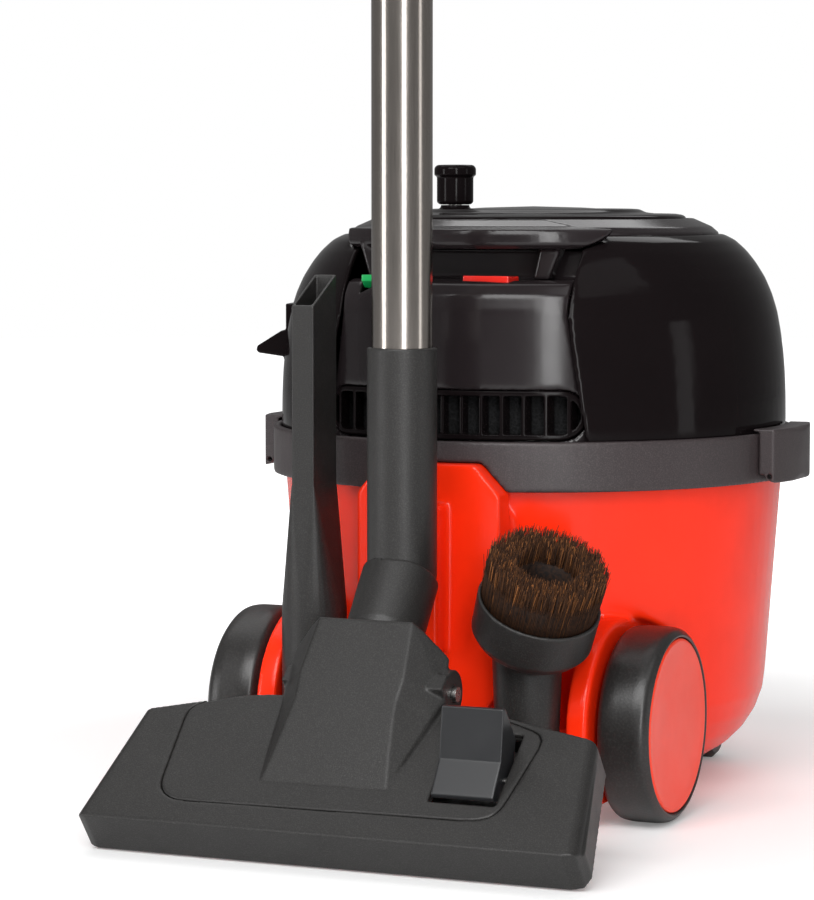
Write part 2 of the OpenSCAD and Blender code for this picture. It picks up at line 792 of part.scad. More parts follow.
module power_rocker() { color([0.85, 0.08, 0.06]) rocker(switch_at[1]); }
module selector_rocker() { color([0.05, 0.55, 0.22]) rocker(switch_at[0]); }

// ---------- wand ----------

module wand_tube() {
  color(steel) place() translate([0, -wand_back, 0]) difference() {
    rotate_extrude() polygon([[0, 176], [tube_r, 176], [tube_r, tube_top - 72], [tube_r + 1.6, tube_top - 60],
      [tube_r + 1.6, tube_top], [0, tube_top]]);
    translate([0, 0, 170]) cylinder(r = tube_r - 1, h = tube_top);
    translate([0, 0, tube_top - 60]) cylinder(r = tube_r + 0.2, h = 61);
  }
}

// grip sleeve at the foot of the tube, its bend, and the hook that drops into the tongue
module wand_sleeve() {
  color(charcoal) {
    difference() {
      union() {
        place() translate([0, -wand_back, bend_z]) {
          cylinder(r = sleeve_r, h = 266 - bend_z);
          sphere(r = sleeve_r);
        }
        neck_place() cylinder(r = sleeve_r, h = 34);
      }
      place() translate([0, -wand_back, 0]) {
        translate([0, 0, 176]) cylinder(r = tube_r, h = 100);
        translate([0, 0, bend_z]) cylinder(r = 15, h = 100);
        translate([0, 0, bend_z]) sphere(r = 15);
      }
      neck_place() cylinder(r = 15, h = 40);
    }
    place() difference() {
      union() {
        translate([-key_half, -172.8, 138]) cube([2 * key_half, 7.2, tongue_top - 139]);
        translate([-1.7, -181.4, 150]) cube([3.4, 9, tongue_top - 151]);
      }
      translate([0, -wand_back, 100]) cylinder(r = sleeve_r - 1.4, h = 200);
    }
  }
}

// collar over the bend's lower end, running down to the barrel between the tool's ears
module neck_collar() {
  color(charcoal) neck_place() difference() {
    union() {
      translate([0, 0, 3]) cylinder(r = 21.4, h = 37);
      translate([0, 0, 39]) cylinder(r1 = 21.4, r2 = 15, h = neck_len - 42);
      translate([-36.5, 0, neck_len]) along_x() cylinder(r = 15.5, h = 73);
    }
    translate([0, 0, 2]) cylinder(r = sleeve_r, h = 32.1);
    rotate([neck_lean - 180, 0, 0]) cylinder(r = sleeve_r, h = 70);
    sphere(r = sleeve_r);
    translate([0, 0, 10]) cylinder(r = 12, h = neck_len + 20);
    translate([-40, 0, neck_len]) along_x() cylinder(r = 4 + run, h = 80);
  }
}

// ---------- floor tool ----------

// plan of the tool drawn in by t
module tool_plan(t) {
  polygon([[-tool_left + 6 + t, t], [tool_right - 8 - t, t], [tool_right - 2 - t, 2 + t],
           [tool_right - t, 9 + t], [tool_right - 13 - t, 79 - t], [70, 94 - t], [40 - t, 96 - t],
           [38 - t, 86 - t], [-38 + t, 86 - t], [-40 + t, 96 - t], [-70, 94 - t],
           [-tool_left + 9 + t, 79 - t], [-tool_left + t, 7 + t], [-tool_left + 1.5 + t, 1.5 + t]]);
}

module tool_base() {
  color(charcoal) tool_place() difference() {
    union() {
      difference() {
        linear_extrude(tool_h) tool_plan(0);
        translate([0, 0, -1]) linear_extrude(tool_h - 5) tool_plan(wall);
      }
      for (s = [-1, 1]) translate([s * 78 - 1.5, 66, 2.9]) cube([3, 17, 18]);
    }
    translate([0, 0, tool_h - wall]) linear_extrude(10) polygon(soften(panel_line, 9));
    translate([pedal_x - 1.5, 29, 10]) cube([pedal_w + 3, 50, 20]);
    translate([-28, 48, 15]) cube([56, 60, 20]);
    translate([-110, roller_at[0], roller_at[1]]) along_x() cylinder(r = 2 + run, h = 220);
    translate([pedal_x - 6.5, 50, 22]) along_x() cylinder(r = 2, h = pedal_w + 13);
  }
}

// the raised cover as a skin of points: a sloping roof that widens into two ears at the back
module hump(t) {
  roof = tool_h + hump_rise;
  low = tool_h - wall - (t > 0 ? 10 : 0);
  points = [[36.5 - t, 33 + t, low], [36 - t, 34 + t, tool_h - t], [27 - t, 127.5 + t, roof - t],
            [ear_right - t, 96, low], [ear_right - t, 96, 31], [ear_right - 3.5 - t, 120 + t, 38 - t],
            [33 - t, 126 + t, roof - 6 - t]];
  hull() for (p = points) for (x = [-min(p[0], ear_left - t), p[0]])
    translate([x, p[1], p[2]]) cube(0.2, center = true);
}

module tool_ears() {
  for (x = [[-ear_left, -38], [38, ear_right]]) translate([x[0], 0, 0]) {
    translate([0, pivot[0], pivot[1]]) along_x() cylinder(r = 13, h = x[1] - x[0]);
    translate([0, 96.2, tool_h - 18]) cube([x[1] - x[0], 11, 30]);
  }
}

module tool_cover() {
  color(charcoal) tool_place() difference() {
    union() {
      translate([0, 0, tool_h - wall]) linear_extrude(wall) polygon([for (p = soften(panel_line, 9))
        [p[0] * (1 - gap / 100), p[1] + (p[1] > 50 ? -gap : gap)]]);
      difference() {
        hump(0);
        hump(2.5);
      }
      tool_ears();
    }
    translate([-38, 86, -10]) cube([76, 60, 30]);
    translate([-28, 48, 0]) cube([56, 40, tool_h + 1]);
    translate([-60, 0, -1]) cube([120, 96.2, tool_h - wall + 1]);
    translate([-60, pivot[0], pivot[1]]) along_x() cylinder(r = 4, h = 120);
    translate([0, pivot[0], pivot[1]]) translate([-37, 0, 0]) along_x() cylinder(r = 16.5, h = 74);
    translate([pedal_x - 1.5, 29, 10]) cube([pedal_w + 3, 50, 50]);
    translate([pedal_x - 6.5, 50, 22]) along_x() cylinder(r = 2, h = pedal_w + 13);
  }
}

module sole_plate() {
  color(steel) tool_place() difference() {
    linear_extrude(2.5) tool_plan(wall + 0.3);
    translate([-108, 17, -1]) cube([232, 28, 5]);
    for (y = [8, 58]) translate([strip_from - 1, y - 0.5, -1]) cube([strip_len + 2, 5, 5]);
    for (s = [-1, 1]) translate([s * 92 - 6, 66, -1]) cube([12, 19, 5]);
  }
}

module pivot_pins() {
  color(steel) tool_place() for (x = [[-ear_left - 2.5, -30], [30, ear_right + 2.5]])
    translate([x[0], pivot[0], pivot[1]]) along_x() cylinder(r = 4, h = x[1] - x[0]);
}

module pedal_pin() {
  color(steel) tool_place() {
    for (x = [pedal_x - 6, pedal_x + pedal_w + 1]) translate([x, 50, 22]) along_x() cylinder(r = 2, h = 5);
    translate([pedal_x - 2, 50, 22]) along_x() cylinder(r = 2, h = pedal_w + 4);
  }
}

module tool_pedal() {
  color(gloss_black) tool_place() difference() {
    x_bar(pedal_x, pedal_x + pedal_w, [[31.5, tool_h], [32, tool_h + 2.4], [51, tool_h + 8.8],
      [70, tool_h + pedal_h], [72.5, tool_h + pedal_h - 1.6], [73, tool_h + 3], [62, 20.5], [44, 18],
      [36, 22]]);
    translate([0, 50, 22]) along_x() cylinder(r = 2 + run, h = 120);
  }
}

// two rows of bristles on a frame that drops through the sole
module brush_strips() {
  color([0.12, 0.11, 0.10]) tool_place() {
    for (y = [8, 58]) translate([strip_from, y, 1]) cube([strip_len, 4, 13]);
    for (s = [-1, 1]) translate([s * 100 - 3, 8, 13.9]) cube([6, 54, 2]);
    for (y = [7.5, 57.5]) translate([strip_from, y, 13.9]) cube([strip_len, 5, 2]);
  }
}

module tool_rollers() {
  color(tyre_black) tool_place() translate([0, roller_at[0], roller_at[1]]) {
    translate([-97, 0, 0]) along_x() cylinder(r = 2, h = 194);
    for (x = [-96, 88]) translate([x, 0, 0]) along_x() cylinder(r = 6.8, h = 8);
  }
}

// ---------- parked small tools ----------

// flat blade that flows into a round base; the mouth is cut on the slant
module crevice_tool() {
  blade_x = 13.6;
  blade_y = 31;
  skin = 1.8;
  color(charcoal) place() translate([crevice_at[0], crevice_at[1], 0]) difference() {
    union() {
      translate([0, 0, peg_z + 0.2]) cylinder(r = 18.4, h = 70);
      hull() {
        translate([0, 0, 115]) cylinder(r = 18.4, h = 1, $fn = 32);
        translate([-blade_x / 2, -blade_y / 2, 186]) cube([blade_x, blade_y, 1]);
      }
      translate([-blade_x / 2, -blade_y / 2, 186]) cube([blade_x, blade_y, 119]);
    }
    translate([0, 0, 40]) cylinder(r = 16, h = 76);
    hull() {
      translate([0, 0, 115.9]) cylinder(r = 16, h = 0.2, $fn = 32);
      translate([skin - blade_x / 2, skin - blade_y / 2, 186]) cube([blade_x - 2 * skin, blade_y - 2 * skin, 1]);
    }
    translate([skin - blade_x / 2, skin - blade_y / 2, 186]) cube([blade_x - 2 * skin, blade_y - 2 * skin, 130]);
    translate([-20, -blade_y / 2, 287]) rotate([29, 0, 0]) translate([0, -10, 0]) cube([40, 70, 40]);
  }
}

module brush_body() {
  color(charcoal) difference() {
    union() {
      place() translate([brush_at[0], brush_at[1], peg_z + 0.2])
        cylinder(r1 = 17.4, r2 = 19.4, h = brush_neck_z - peg_z);
      brush_place() rotate_extrude() polygon([[0, -8], [16, -8], [19.4, 0], [30, 7], [brush_r, 12],
        [brush_r + 0.6, 34], [0, 34]]);
    }
    place() translate([brush_at[0], brush_at[1], 40]) cylinder(r = 16, h = 50);
    brush_place() {
      translate([0, 0, -2]) cylinder(r = 15, h = 50);
      translate([0, 0, 24]) ring(brush_r - 1.4, 17, 20);
    }
    place() translate([brush_at[0], brush_at[1], 60]) cylinder(r = 15, h = brush_neck_z - 60);
  }
}

module brush_bristles() {
  color([0.28, 0.17, 0.09]) brush_place() difference() {
    rotate_extrude() polygon([[0, 24.2], [brush_r - 1.7, 24.2], [brush_r + 1.4, bristle_z], [0, bristle_z]]);
    translate([0, 0, 20]) cylinder(r1 = 17.3, r2 = 14.5, h = 50);
    translate([0, 0, 20]) cylinder(r = 17.3, h = 14.3);
  }
}

// ---------- assembly ----------

drum_shell();
rim_ring();
inlet_ring();
dust_bag();
filter_cloth();
filter_ring();
head_gasket();
wheel_axles();
latch_pins();
wheel_left();
hubcap_left();
wheel_right();
hubcap_right();
caster_fork_left();
caster_fork_right();
caster_wheel_left();
caster_wheel_right();
caster_pins_left();
caster_pins_right();
latch_left();
latch_right();
head_base();
head_cover();
rear_panel();
exhaust_grille();
exhaust_filter();
carry_handle();
cable_outlet();
fan_casing();
motor_can();
stator();
carbon_brushes();
ball_bearings();
control_board();
reel_bracket();
head_screws();
motor_shaft();
lower_impeller();
upper_impeller();
armature();
winder_disc();
cable_reel();
knob_pin();
crank_knob();
power_rocker();
selector_rocker();
wand_tube();
wand_sleeve();
neck_collar();
tool_base();
tool_cover();
sole_plate();
pivot_pins();
pedal_pin();
tool_pedal();
brush_strips();
tool_rollers();
crevice_tool();
brush_body();
brush_bristles();
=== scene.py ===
"""Looks of the drum vacuum cleaner: camera, light, materials and the pieces that replace plain CAD solids."""
import json
import math
import random

import bmesh
import bpy
from mathutils import Matrix, Vector
from mathutils.noise import noise_vector

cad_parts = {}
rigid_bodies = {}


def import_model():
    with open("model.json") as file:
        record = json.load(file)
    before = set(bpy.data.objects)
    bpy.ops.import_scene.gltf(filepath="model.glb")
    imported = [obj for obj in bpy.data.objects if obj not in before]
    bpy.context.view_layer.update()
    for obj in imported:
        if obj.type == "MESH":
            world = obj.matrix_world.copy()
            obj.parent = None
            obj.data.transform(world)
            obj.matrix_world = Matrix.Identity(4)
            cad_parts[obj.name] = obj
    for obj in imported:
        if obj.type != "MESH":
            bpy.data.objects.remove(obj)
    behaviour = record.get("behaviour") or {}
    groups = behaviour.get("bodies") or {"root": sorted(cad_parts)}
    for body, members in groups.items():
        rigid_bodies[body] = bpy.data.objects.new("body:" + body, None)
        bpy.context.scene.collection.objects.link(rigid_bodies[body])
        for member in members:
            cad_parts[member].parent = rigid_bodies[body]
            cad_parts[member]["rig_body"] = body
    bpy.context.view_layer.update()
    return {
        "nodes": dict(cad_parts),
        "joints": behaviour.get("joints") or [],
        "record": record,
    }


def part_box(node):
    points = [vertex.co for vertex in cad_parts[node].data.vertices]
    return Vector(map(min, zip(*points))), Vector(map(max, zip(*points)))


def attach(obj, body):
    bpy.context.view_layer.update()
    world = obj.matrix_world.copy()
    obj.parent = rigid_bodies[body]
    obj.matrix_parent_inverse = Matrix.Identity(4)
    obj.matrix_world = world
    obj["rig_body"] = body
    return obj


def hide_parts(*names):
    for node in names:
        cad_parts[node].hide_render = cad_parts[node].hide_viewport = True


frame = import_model()
scene = bpy.context.scene
nodes = frame["nodes"]
joints = {j["name"]: j for j in frame["joints"]}
slots = {part["node"]: part["material_slot"] for part in frame["record"]["subparts"]}
MM = 0.001
RANDOM_SEED = 7
SHARP_ANGLE = math.radians(35)
random.seed(RANDOM_SEED)


# ---------- places, worked out from the frame ----------

def centre(node):
    low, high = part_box(node)
    return (low + high) / 2


axis_y = centre("head_base").y


def at(x, y, z):
    """A point given in millimetres from the foot of the drum's axis."""
    return Vector((x * MM, axis_y + y * MM, z * MM))


drum_place = Matrix.Translation(at(0, 0, 0)) @ Matrix.Scale(MM, 4)

# the floor tool's own frame in millimetres: x across, y back from the front edge, z up from the sole
drop = joints["brushes_drop"]["axis"]
tool_slope = math.atan2(drop[1], -drop[2])
PIVOT = Vector((0, 107, 24))
tool_place = (Matrix.Translation(Vector(joints["tool_tilt"]["pos_m"])) @ Matrix.Rotation(tool_slope, 4, "X")
              @ Matrix.Scale(MM, 4) @ Matrix.Translation(-PIVOT))


# ---------- materials ----------

COAT_ROUGHNESS = 0.03
EDGE_START = 0.52
EDGE_STOP = 0.62
SLOW_PATCH = 0.05
# size of the patches along edges that are painted lighter, partly worn plastic and partly painted highlight
LIT_WORN_PATCH = 0.012
SPECK_TINT = 3.2


class Finish:
    """A procedural material. Its textures follow each object's own coordinates, in metres."""

    def __init__(self, name, rough, metal=0.0, coat=0.0, specular=0.5):
        self.mat = bpy.data.materials.new(name)
        self.mat.use_nodes = True
        self.tree = self.mat.node_tree
        self.shader = self.tree.nodes["Principled BSDF"]
        self.set("Roughness", rough)
        self.set("Metallic", metal)
        self.set("Coat Weight", coat)
        self.set("Coat Roughness", COAT_ROUGHNESS)
        self.set("Specular IOR Level", specular)
        self.coords = self.add("ShaderNodeTexCoord").outputs["Object"]
        self.normal = None

    def set(self, socket, value):
        self.shader.inputs[socket].default_value = value

    def add(self, kind, **values):
        node = self.tree.nodes.new(kind)
        for key, value in values.items():
            setattr(node, key, value)
        return node

    def link(self, source, target):
        self.tree.links.new(source, target)

    def stretched(self, factors):
        """The object's coordinates, stretched by a factor along each axis."""
        mapping = self.add("ShaderNodeMapping")
        mapping.inputs["Scale"].default_value = factors
        self.link(self.coords, mapping.inputs["Vector"])
        return mapping.outputs["Vector"]

    def noise(self, size, detail=2.0, where=None):
        """Noise whose lumps are about size metres across."""
        node = self.add("ShaderNodeTexNoise")
        node.inputs["Scale"].default_value = 1 / size
        node.inputs["Detail"].default_value = detail
        self.link(where or self.coords, node.inputs["Vector"])
        return node.outputs["Fac"]

    def between(self, factor, low, high, start=0.35, stop=0.65):
        """A number that goes from low to high as the factor goes from start to stop."""
        node = self.add("ShaderNodeMapRange")
        for socket, value in (("From Min", start), ("From Max", stop), ("To Min", low), ("To Max", high)):
            node.inputs[socket].default_value = value
        self.link(factor, node.inputs["Value"])
        return node.outputs["Result"]

    def blend(self, factor, first, second):
        """A colour between two colours; each is a triple or another node's output."""
        node = self.add("ShaderNodeMix", data_type="RGBA")
        self.link(factor, node.inputs["Factor"])
        for name, colour in (("A", first), ("B", second)):
            socket = [s for s in node.inputs if s.name == name and s.type == "RGBA"][0]
            if isinstance(colour, tuple):
                socket.default_value = (*colour, 1)
            else:
                self.link(colour, socket)
        return [s for s in node.outputs if s.type == "RGBA"][0]

    def colour(self, source):
        self.link(source, self.shader.inputs["Base Color"])

    def rough(self, factor, low, high):
        self.link(self.between(factor, low, high), self.shader.inputs["Roughness"])

    def bump(self, height, depth):
        """Adds relief of the given depth in metres."""
        node = self.add("ShaderNodeBump")
        node.inputs["Distance"].default_value = depth
        self.link(height, node.inputs["Height"])
        if self.normal:
            self.link(self.normal, node.inputs["Normal"])
        self.normal = node.outputs["Normal"]
        self.link(self.normal, self.shader.inputs["Normal"])

    def edges(self):
        """0 on flats and 1 on outside edges."""
        pointiness = self.add("ShaderNodeNewGeometry").outputs["Pointiness"]
        return self.between(pointiness, 0, 1, EDGE_START, EDGE_STOP)


def tint(rgb, factor):
    return tuple(c * factor for c in rgb)


def plastic(name, rgb, rough, grain=0.0, grain_size=0.0007, speck=0.0, coat=0.0, edge_wear_and_highlight=0.0, specular=0.5):
    """Moulded plastic: slow colour change, spark-eroded grain with pale specks, and edges painted lighter,
    partly worn edges and partly a painted edge highlight.
    """
    look = Finish(name, rough, coat=coat, specular=specular)
    slow = look.noise(SLOW_PATCH, 3)
    fine = look.noise(grain_size, 2)
    body = look.blend(look.between(slow, 0, 1), tint(rgb, 0.95), tint(rgb, 1.05))
    if speck:
        body = look.blend(look.between(fine, 0, speck, 0.45, 0.75), body, tint(rgb, SPECK_TINT))
    if grain:
        look.bump(fine, grain)
    # edges painted lighter: partly worn plastic, partly a painted highlight along the edges
    if edge_wear_and_highlight:
        lit_worn_edge_mask = look.add("ShaderNodeMath", operation="MULTIPLY")
        look.link(look.edges(), lit_worn_edge_mask.inputs[0])
        look.link(look.between(look.noise(LIT_WORN_PATCH, 3), 0.4 * edge_wear_and_highlight, edge_wear_and_highlight), lit_worn_edge_mask.inputs[1])
        pale = tuple(min(1, c * 2.4 + 0.02) for c in rgb)
        body = look.blend(lit_worn_edge_mask.outputs[0], body, pale)
    look.colour(body)
    look.rough(look.noise(0.02, 4), rough * 0.92, rough * 1.08)
    return look.mat


# the plastic of each slot
# some plastics have their edges painted lighter, partly worn plastic and partly painted highlight
PLASTICS = {
    "drum_red": dict(rgb=(0.97, 0.028, 0.004), rough=0.22, grain=0.000003, grain_size=0.004, specular=0.30),
    "cap_red": dict(rgb=(0.97, 0.048, 0.012), rough=0.34, grain=0.00001, specular=0.4),
    "rim_grey": dict(rgb=(0.028, 0.021, 0.022), rough=0.46, grain=0.00006, speck=0.5, edge_wear_and_highlight=0.4),
    "gloss_black": dict(rgb=(0.0066, 0.0047, 0.0051), rough=0.10, specular=0.07),
    "panel_grey": dict(rgb=(0.015, 0.0115, 0.0125), rough=0.18, grain=0.000004, specular=0.32),
    "charcoal": dict(rgb=(0.0135, 0.0128, 0.0123), rough=0.44, grain=0.00007, speck=0.7, edge_wear_and_highlight=0.8,
                     specular=0.42),
    "pedal_black": dict(rgb=(0.014, 0.0145, 0.016), rough=0.36, grain=0.00001, edge_wear_and_highlight=0.6),
    "tyre": dict(rgb=(0.020, 0.019, 0.018), rough=0.42, grain=0.00005, edge_wear_and_highlight=0.3),
    "wheel_black": dict(rgb=(0.015, 0.014, 0.0135), rough=0.34, grain=0.00006, grain_size=0.0012,
                        speck=0.4),
    "rubber_seal": dict(rgb=(0.015, 0.015, 0.015), rough=0.6, grain=0.00004),
    "switch_red": dict(rgb=(0.75, 0.02, 0.012), rough=0.25, grain=0.00001, coat=0.3),
    "switch_green": dict(rgb=(0.01, 0.40, 0.10), rough=0.25, grain=0.00001, coat=0.3),
    "carbon": dict(rgb=(0.03, 0.03, 0.03), rough=0.7, grain=0.00005),
    "board": dict(rgb=(0.02, 0.12, 0.05), rough=0.35, grain=0.00003),
}

# the metal of each slot: colour, roughness, stretch of its lines, width of its lines in metres
METALS = {
    "steel_tube": ((0.40, 0.365, 0.335), 0.20, (1, 1, 0.012), 0.0003),
    "steel": ((0.58, 0.57, 0.55), 0.28, (0.05, 1, 1), 0.0006),
    "zinc": ((0.60, 0.60, 0.60), 0.38, (1, 1, 1), 0.003),
}


def make_materials():
    """One material for each of the record's slots."""
    made = {name: plastic(name, **settings) for name, settings in PLASTICS.items()}
    made.update({name: brushed(name, *settings) for name, settings in METALS.items()})
    made["copper"] = winding("copper")
    made["bag_fleece"] = cloth("bag_fleece", (0.66, 0.61, 0.52), 0.0009)
    made["filter_cloth"] = cloth("filter_cloth", (0.42, 0.42, 0.41), 0.0006)
    made["foam"] = foam("foam")
    made["horsehair"] = hair("horsehair", (0.40, 0.15, 0.045), (0.010, 0.0078, 0.0075))
    made["strip_hair"] = hair("strip_hair", (0.05, 0.045, 0.04), (0.012, 0.011, 0.011))
    return made


def brushed(name, rgb, rough, stretch, size):
    """Metal with fine lines along the axis that is stretched least."""
    look = Finish(name, rough, metal=1.0)
    lines = look.noise(size, 3, look.stretched(stretch))
    slow = look.noise(0.03, 3)
    body = look.blend(look.between(lines, 0, 1), tint(rgb, 0.94), tint(rgb, 1.04))
    look.colour(look.blend(look.between(slow, 0, 0.2), body, tint(rgb, 0.85)))
    look.rough(lines, rough * 0.92, rough * 1.1)
    look.bump(lines, 0.000002)
    return look.mat


def winding(name):
    """Enamelled wire wound in layers."""
    look = Finish(name, 0.35, metal=0.7)
    wires = look.add("ShaderNodeTexWave", bands_direction="Z")
    wires.inputs["Scale"].default_value = 300
    wires.inputs["Distortion"].default_value = 1.5
    look.link(look.coords, wires.inputs["Vector"])
    look.colour(look.blend(wires.outputs["Fac"], (0.20, 0.07, 0.03), (0.62, 0.28, 0.13)))
    look.bump(wires.outputs["Fac"], 0.0003)
    return look.mat


def cloth(name, rgb, pitch):
    """Woven or felted cloth: two crossing sets of threads, and lint."""
    look = Finish(name, 0.9, specular=0.2)
    look.set("Sheen Weight", 0.3)
    height = None
    for direction in ("X", "Z"):
        threads = look.add("ShaderNodeTexWave", bands_direction=direction)
        threads.inputs["Scale"].default_value = 0.3 / pitch
        threads.inputs["Distortion"].default_value = 1.0
        look.link(look.coords, threads.inputs["Vector"])
        look.bump(threads.outputs["Fac"], 0.00015)
        height = threads.outputs["Fac"]
    lint = look.noise(0.004, 5)
    body = look.blend(height, tint(rgb, 0.78), tint(rgb, 1.08))
    look.colour(look.blend(look.between(lint, 0, 0.4), body, tint(rgb, 0.6)))
    return look.mat


def foam(name):
    """Open-cell foam."""
    look = Finish(name, 0.95, specular=0.2)
    cells = look.add("ShaderNodeTexVoronoi")
    cells.inputs["Scale"].default_value = 700
    look.link(look.coords, cells.inputs["Vector"])
    look.colour(look.blend(cells.outputs["Distance"], (0.003, 0.003, 0.003), (0.014, 0.014, 0.015)))
    look.bump(cells.outputs["Distance"], 0.0006)
    return look.mat


def hair(name, light, dark):
    """Hairs whose shade is stored on each strand, from dark to light."""
    look = Finish(name, 0.6, specular=0.10)
    shade = look.add("ShaderNodeAttribute", attribute_name="shade").outputs["Fac"]
    body = look.blend(shade, dark, light)
    look.colour(look.blend(look.between(look.noise(0.002, 2), 0, 0.05), body, light))
    return look.mat


# ---------- pieces ----------

def in_scene(name, mesh, material):
    """Puts a smooth-shaded mesh in the scene."""
    for polygon in mesh.polygons:
        polygon.use_smooth = True
    mesh.materials.clear()
    mesh.materials.append(made[material])
    piece = bpy.data.objects.new(name, mesh)
    scene.collection.objects.link(piece)
    return piece


def put(name, mesh, material, *replaced):
    """Adds a piece that stands for the CAD nodes named, on the body of the first."""
    piece = in_scene(name, mesh, material)
    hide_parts(*replaced)
    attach(piece, nodes[replaced[0]]["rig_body"])
    return piece


def put_beside(name, mesh, material, node):
    """Adds a piece that stands for no CAD node, on the body of the node named."""
    piece = in_scene(name, mesh, material)
    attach(piece, nodes[node]["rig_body"])


def finished(mesh, *modifiers):
    """The mesh after the modifiers: each is (kind, settings)."""
    holder = bpy.data.objects.new("holder", mesh)
    scene.collection.objects.link(holder)
    for kind, settings in modifiers:
        modifier = holder.modifiers.new(kind, kind)
        for key, value in settings.items():
            setattr(modifier, key, value)
    evaluated = holder.evaluated_get(bpy.context.evaluated_depsgraph_get())
    result = bpy.data.meshes.new_from_object(evaluated)
    bpy.data.objects.remove(holder)
    return result


def moulded(node, voxel, rounds, place=drum_place, shape=None):
    """A copy of a CAD piece with its sharp edges melted round, worked in the frame of place, in mm.

    shape, if given, moves the points of the fine mesh before its edges are smoothed.
    """
    mesh = nodes[node].data.copy()
    mesh.transform(place.inverted())
    weld = bmesh.new()
    weld.from_mesh(mesh)
    bmesh.ops.remove_doubles(weld, verts=weld.verts, dist=0.001)
    weld.to_mesh(mesh)
    weld.free()
    mesh = finished(mesh, ("REMESH", {"mode": "VOXEL", "voxel_size": voxel}))
    if shape:
        for vertex in mesh.vertices:
            vertex.co = shape(vertex.co)
    mesh = finished(mesh, ("SMOOTH", {"factor": 0.5, "iterations": rounds}))
    mesh.transform(place)
    return put(node + "_shell", mesh, slots[node], node)


def rounded(points, radius, steps=4):
    """An open outline whose corners between straight runs are turned into arcs of about that radius."""
    smooth = [Vector((*points[0], 0))]
    for before, corner, after in zip(points, points[1:], points[2:]):
        corner = Vector((*corner, 0))
        back = Vector((*before, 0)) - corner
        ahead = Vector((*after, 0)) - corner
        reach = min(radius, 0.45 * back.length, 0.45 * ahead.length)
        start = corner + back.normalized() * reach
        end = corner + ahead.normalized() * reach
        for i in range(steps + 1):
            t = i / steps
            smooth.append(start * (1 - t) ** 2 + corner * 2 * t * (1 - t) + end * t ** 2)
    smooth.append(Vector((*points[-1], 0)))
    return [(p.x, p.y) for p in smooth]


def turned(outline, place, around=160):
    """A body of revolution: the outline is (radius, height) pairs in mm about the Z axis of place."""
    shape = bmesh.new()
    rings = []
    for radius, height in outline:
        if radius < 0.001:
            rings.append([shape.verts.new((0, 0, height))])
            continue
        turns = [2 * math.pi * i / around for i in range(around)]
        rings.append([shape.verts.new((radius * math.cos(a), radius * math.sin(a), height)) for a in turns])
    for low, high in zip(rings, rings[1:]):
        for i in range(around):
            j = (i + 1) % around
            corners = [low[i % len(low)], low[j % len(low)], high[j % len(high)], high[i % len(high)]]
            unique = list(dict.fromkeys(corners))
            if len(unique) > 2:
                shape.faces.new(unique)
    bmesh.ops.recalc_face_normals(shape, faces=shape.faces)
    mesh = bpy.data.meshes.new("turned")
    shape.to_mesh(mesh)
    shape.free()
    mesh.transform(place)
    return mesh


def facing(point, direction):
    """A frame in mm at a point, with Z along direction."""
    return (Matrix.Translation(point) @ Vector(direction).to_track_quat("Z", "Y").to_matrix().to_4x4()
            @ Matrix.Scale(MM, 4))


def joined(*meshes):
    shape = bmesh.new()
    for mesh in meshes:
        shape.from_mesh(mesh)
    result = bpy.data.meshes.new("joined")
    shape.to_mesh(result)
    shape.free()
    return result


def hairs(name, strands, place, material, thick, *replaced):
    """Adds a piece made of hairs; each strand is (points from root to tip in mm, shade)."""
    points = []
    faces = []
    shades = []
    for path, shade in strands:
        first = len(points)
        last = len(path) - 1
        for i, point in enumerate(path):
            radius = thick * (1 - 0.55 * i / last)
            lean = path[min(i + 1, last)] - path[max(i - 1, 0)]
            side = lean.orthogonal().normalized() * radius
            other = lean.cross(side).normalized() * radius
            points += [point + side, point - side * 0.5 + other * 0.87, point - side * 0.5 - other * 0.87]
            shades += [shade] * 3
        for i in range(last):
            low = first + 3 * i
            faces += [(low + k, low + (k + 1) % 3, low + 3 + (k + 1) % 3, low + 3 + k) for k in range(3)]
        tip = first + 3 * last
        faces += [(first + 2, first + 1, first), (tip, tip + 1, tip + 2)]
    mesh = bpy.data.meshes.new(name)
    mesh.from_pydata([place @ point for point in points], [], faces)
    store = mesh.attributes.new("shade", "FLOAT", "POINT")
    store.data.foreach_set("value", shades)
    return put(name, mesh, material, *replaced)


# ---------- the cleaner's pieces ----------

# the floor tool, in its own frame in mm
TOOL_LEFT = -133.5
TOOL_RIGHT = 151.5
TOOL_TOP = 26.5
TOOL_DEPTH = 79
END_RADIUS = 6.5
LEAN_LEFT = 9
LEAN_RIGHT = 13
HUMP_HALF = 20
HUMP_RISE = 30
HUMP_HOLLOW = 2.4
HUMP_FADE_START = 82
HUMP_FADE_STOP = 96
STRIP_ROWS = (8.6, 10, 11.4, 58.6, 60, 61.4)
STRIP_START = -117.6
STRIP_HAIRS = 250
STRIP_ROOT = 13.5
STRIP_TIP = 1.3


def round_ends(point):
    """Rounds the floor tool's top edge over its two ends."""
    sign = 1 if point.x > 0 else -1
    edge = TOOL_RIGHT if point.x > 0 else -TOOL_LEFT
    lean = LEAN_RIGHT if point.x > 0 else LEAN_LEFT
    inside = edge - lean * min(1, max(0, point.y) / TOOL_DEPTH) - abs(point.x)
    below = TOOL_TOP - point.z
    if inside >= END_RADIUS or below >= END_RADIUS:
        return point
    corner = Vector((END_RADIUS - inside, END_RADIUS - below))
    if corner.length <= END_RADIUS:
        return point
    corner = corner.normalized() * END_RADIUS
    moved = sign * (inside - (END_RADIUS - corner.x))
    return Vector((point.x + moved, point.y, TOOL_TOP - (END_RADIUS - corner.y)))


